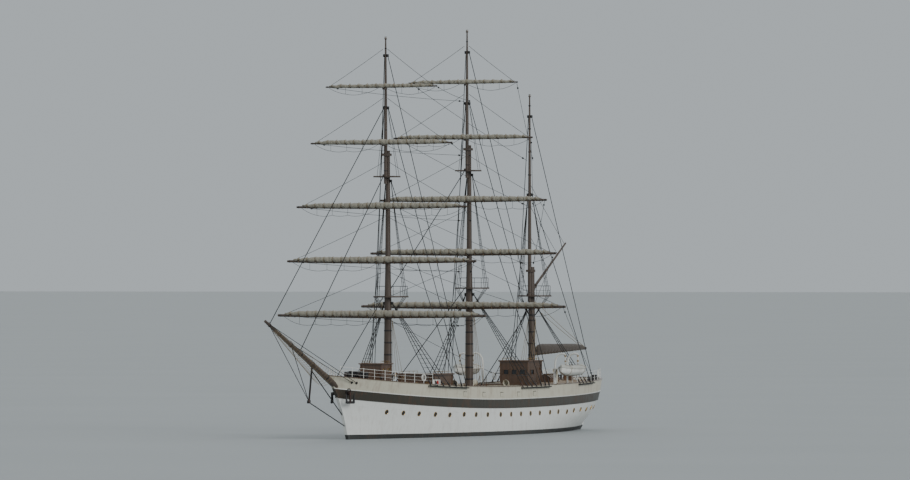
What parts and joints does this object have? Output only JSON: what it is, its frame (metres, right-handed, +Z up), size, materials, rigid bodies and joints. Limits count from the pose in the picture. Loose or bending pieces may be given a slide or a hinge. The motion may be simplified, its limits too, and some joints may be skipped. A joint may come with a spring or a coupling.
{
  "type": "tall ship, scale model 1:2",
  "caption": "Tall ship rigged as a barque, afloat with all sails furled: white hull, brown sheer band, square yards, deckhouses, boats in davits and a bowsprit. Scale model 1:2.",
  "frame": {"origin": "amidships on the centre line, at the level of the water she floats in", "axes": "+X forward to the bow, +Y to port, +Z up"},
  "size_m": [37.1247, 11, 22.05],
  "materials": {
    "antifouling": "matt",
    "white_paint": "satin",
    "band_paint": "satin",
    "cream_paint": "satin",
    "deck_teak": "bare",
    "varnished_wood": "varnished",
    "spar_paint": "satin",
    "sail_cover": "coarse woven",
    "sailcloth": "coarse woven",
    "black_iron": "painted",
    "rigging_wire": "tarred",
    "rope": "laid",
    "bronze": "polished",
    "window_glass": "clear"
  },
  "bodies": {
    "hull": {"hull_bottom": "antifouling", "hull_topsides": "white_paint", "hull_band": "band_paint", "main_deck": "deck_teak", "forecastle": "deck_teak", "poop": "deck_teak", "bulwark_port": "cream_paint", "bulwark_starboard": "cream_paint", "fore_mast": "spar_paint", "fore_topgallant_mast": "spar_paint", "main_mast": "spar_paint", "main_topgallant_mast": "spar_paint", "mizzen_mast": "spar_paint", "mizzen_topmast": "spar_paint", "bowsprit": "spar_paint", "dolphin_striker": "black_iron", "fore_shrouds_port": "rigging_wire", "fore_shrouds_starboard": "rigging_wire", "main_shrouds_port": "rigging_wire", "main_shrouds_starboard": "rigging_wire", "mizzen_shrouds_port": "rigging_wire", "mizzen_shrouds_starboard": "rigging_wire", "fore_stay": "rigging_wire", "fore_topmast_stay": "rigging_wire", "fore_topgallant_stay": "rigging_wire", "main_stay": "rigging_wire", "main_topmast_stay": "rigging_wire", "mizzen_stay": "rigging_wire", "helm_stand": "varnished_wood", "fore_house": "varnished_wood", "chart_house": "varnished_wood", "companion": "varnished_wood", "mid_hatch": "varnished_wood", "boat_port": "white_paint", "boat_starboard": "white_paint", "davits_port": "white_paint", "davits_starboard": "white_paint", "windlass": "black_iron", "anchor_port": "black_iron", "anchor_starboard": "black_iron"},
    "fore_course": {"fore_course_yard": "spar_paint"},
    "fore_lower_topsail": {"fore_lower_topsail_yard": "spar_paint"},
    "fore_upper_topsail": {"fore_upper_topsail_yard": "spar_paint"},
    "fore_topgallant": {"fore_topgallant_yard": "spar_paint"},
    "fore_royal": {"fore_royal_yard": "spar_paint"},
    "main_course": {"main_course_yard": "spar_paint"},
    "main_lower_topsail": {"main_lower_topsail_yard": "spar_paint"},
    "main_upper_topsail": {"main_upper_topsail_yard": "spar_paint"},
    "main_topgallant": {"main_topgallant_yard": "spar_paint"},
    "main_royal": {"main_royal_yard": "spar_paint"},
    "spanker_boom": {"spanker_boom": "spar_paint", "furled_spanker": "sail_cover"},
    "spanker_gaff": {"spanker_gaff": "spar_paint"},
    "propeller": {"propeller": "bronze"},
    "rudder": {"rudder": "antifouling"},
    "helm_wheel": {"helm_wheel": "varnished_wood"},
    "fore_house_door": {"fore_house_door": "varnished_wood"},
    "chart_house_door_port": {"chart_house_door_port": "varnished_wood"},
    "chart_house_door_starboard": {"chart_house_door_starboard": "varnished_wood"},
    "mid_hatch_lid": {"mid_hatch_lid": "varnished_wood"}
  },
  "joints": [
    {"name": "fore_course_brace", "type": "hinge", "parent": "hull", "child": "fore_course", "pos_m": [9.99, 0, 5.85], "axis": [0, 0, 1], "range_deg": [-35, 35]},
    {"name": "fore_lower_topsail_brace", "type": "hinge", "parent": "hull", "child": "fore_lower_topsail", "pos_m": [9.99, 0, 8.45], "axis": [0, 0, 1], "range_deg": [-35, 35]},
    {"name": "fore_upper_topsail_brace", "type": "hinge", "parent": "hull", "child": "fore_upper_topsail", "pos_m": [9.99, 0, 11.05], "axis": [0, 0, 1], "range_deg": [-35, 35]},
    {"name": "fore_topgallant_brace", "type": "hinge", "parent": "hull", "child": "fore_topgallant", "pos_m": [9.99, 0, 14.1], "axis": [0, 0, 1], "range_deg": [-40, 40]},
    {"name": "fore_royal_brace", "type": "hinge", "parent": "hull", "child": "fore_royal", "pos_m": [9.99, 0, 16.8], "axis": [0, 0, 1], "range_deg": [-40, 40]},
    {"name": "main_course_brace", "type": "hinge", "parent": "hull", "child": "main_course", "pos_m": [0.74, 0, 6.25], "axis": [0, 0, 1], "range_deg": [-35, 35]},
    {"name": "main_lower_topsail_brace", "type": "hinge", "parent": "hull", "child": "main_lower_topsail", "pos_m": [0.74, 0, 8.85], "axis": [0, 0, 1], "range_deg": [-35, 35]},
    {"name": "main_upper_topsail_brace", "type": "hinge", "parent": "hull", "child": "main_upper_topsail", "pos_m": [0.74, 0, 11.45], "axis": [0, 0, 1], "range_deg": [-35, 35]},
    {"name": "main_topgallant_brace", "type": "hinge", "parent": "hull", "child": "main_topgallant", "pos_m": [0.74, 0, 14.5], "axis": [0, 0, 1], "range_deg": [-40, 40]},
    {"name": "main_royal_brace", "type": "hinge", "parent": "hull", "child": "main_royal", "pos_m": [0.74, 0, 17.2], "axis": [0, 0, 1], "range_deg": [-40, 40]},
    {"name": "spanker_boom_swing", "type": "hinge", "parent": "hull", "child": "spanker_boom", "pos_m": [-7.46, 0, 3.875], "axis": [0, 0, 1], "range_deg": [-35, 35]},
    {"name": "spanker_gaff_swing", "type": "hinge", "parent": "hull", "child": "spanker_gaff", "pos_m": [-7.46, 0, 7.2], "axis": [0, 0, 1], "range_deg": [-30, 30]},
    {"name": "propeller_spin", "type": "hinge", "parent": "hull", "child": "propeller", "pos_m": [-11.925, 0, -1.425], "axis": [1, 0, 0], "continuous": true},
    {"name": "rudder_swing", "type": "hinge", "parent": "hull", "child": "rudder", "pos_m": [-12.375, 0, -1.5], "axis": [0, 0, 1], "range_deg": [-35, 35]},
    {"name": "helm_wheel_spin", "type": "hinge", "parent": "hull", "child": "helm_wheel", "pos_m": [-12.025, 0, 2.975], "axis": [1, 0, 0], "range_deg": [-545, 545]},
    {"name": "fore_house_door_hinge", "type": "hinge", "parent": "hull", "child": "fore_house_door", "pos_m": [4.23, -0.2, 2.4], "axis": [0, 0, 1], "range_deg": [0, 110]},
    {"name": "chart_house_door_port_hinge", "type": "hinge", "parent": "hull", "child": "chart_house_door_port", "pos_m": [-6.475, 0.77, 2.87], "axis": [0, 0, 1], "range_deg": [0, 110]},
    {"name": "chart_house_door_starboard_hinge", "type": "hinge", "parent": "hull", "child": "chart_house_door_starboard", "pos_m": [-6.475, -0.77, 2.87], "axis": [0, 0, -1], "range_deg": [0, 110]},
    {"name": "mid_hatch_lid_hinge", "type": "hinge", "parent": "hull", "child": "mid_hatch_lid", "pos_m": [3.13, 0, 2.165], "axis": [0, 1, 0], "range_deg": [0, 95]}
  ],
  "couplings": [
    {"joint": "helm_wheel_spin", "follows": "rudder_swing", "ratio": 15.5}
  ]
}
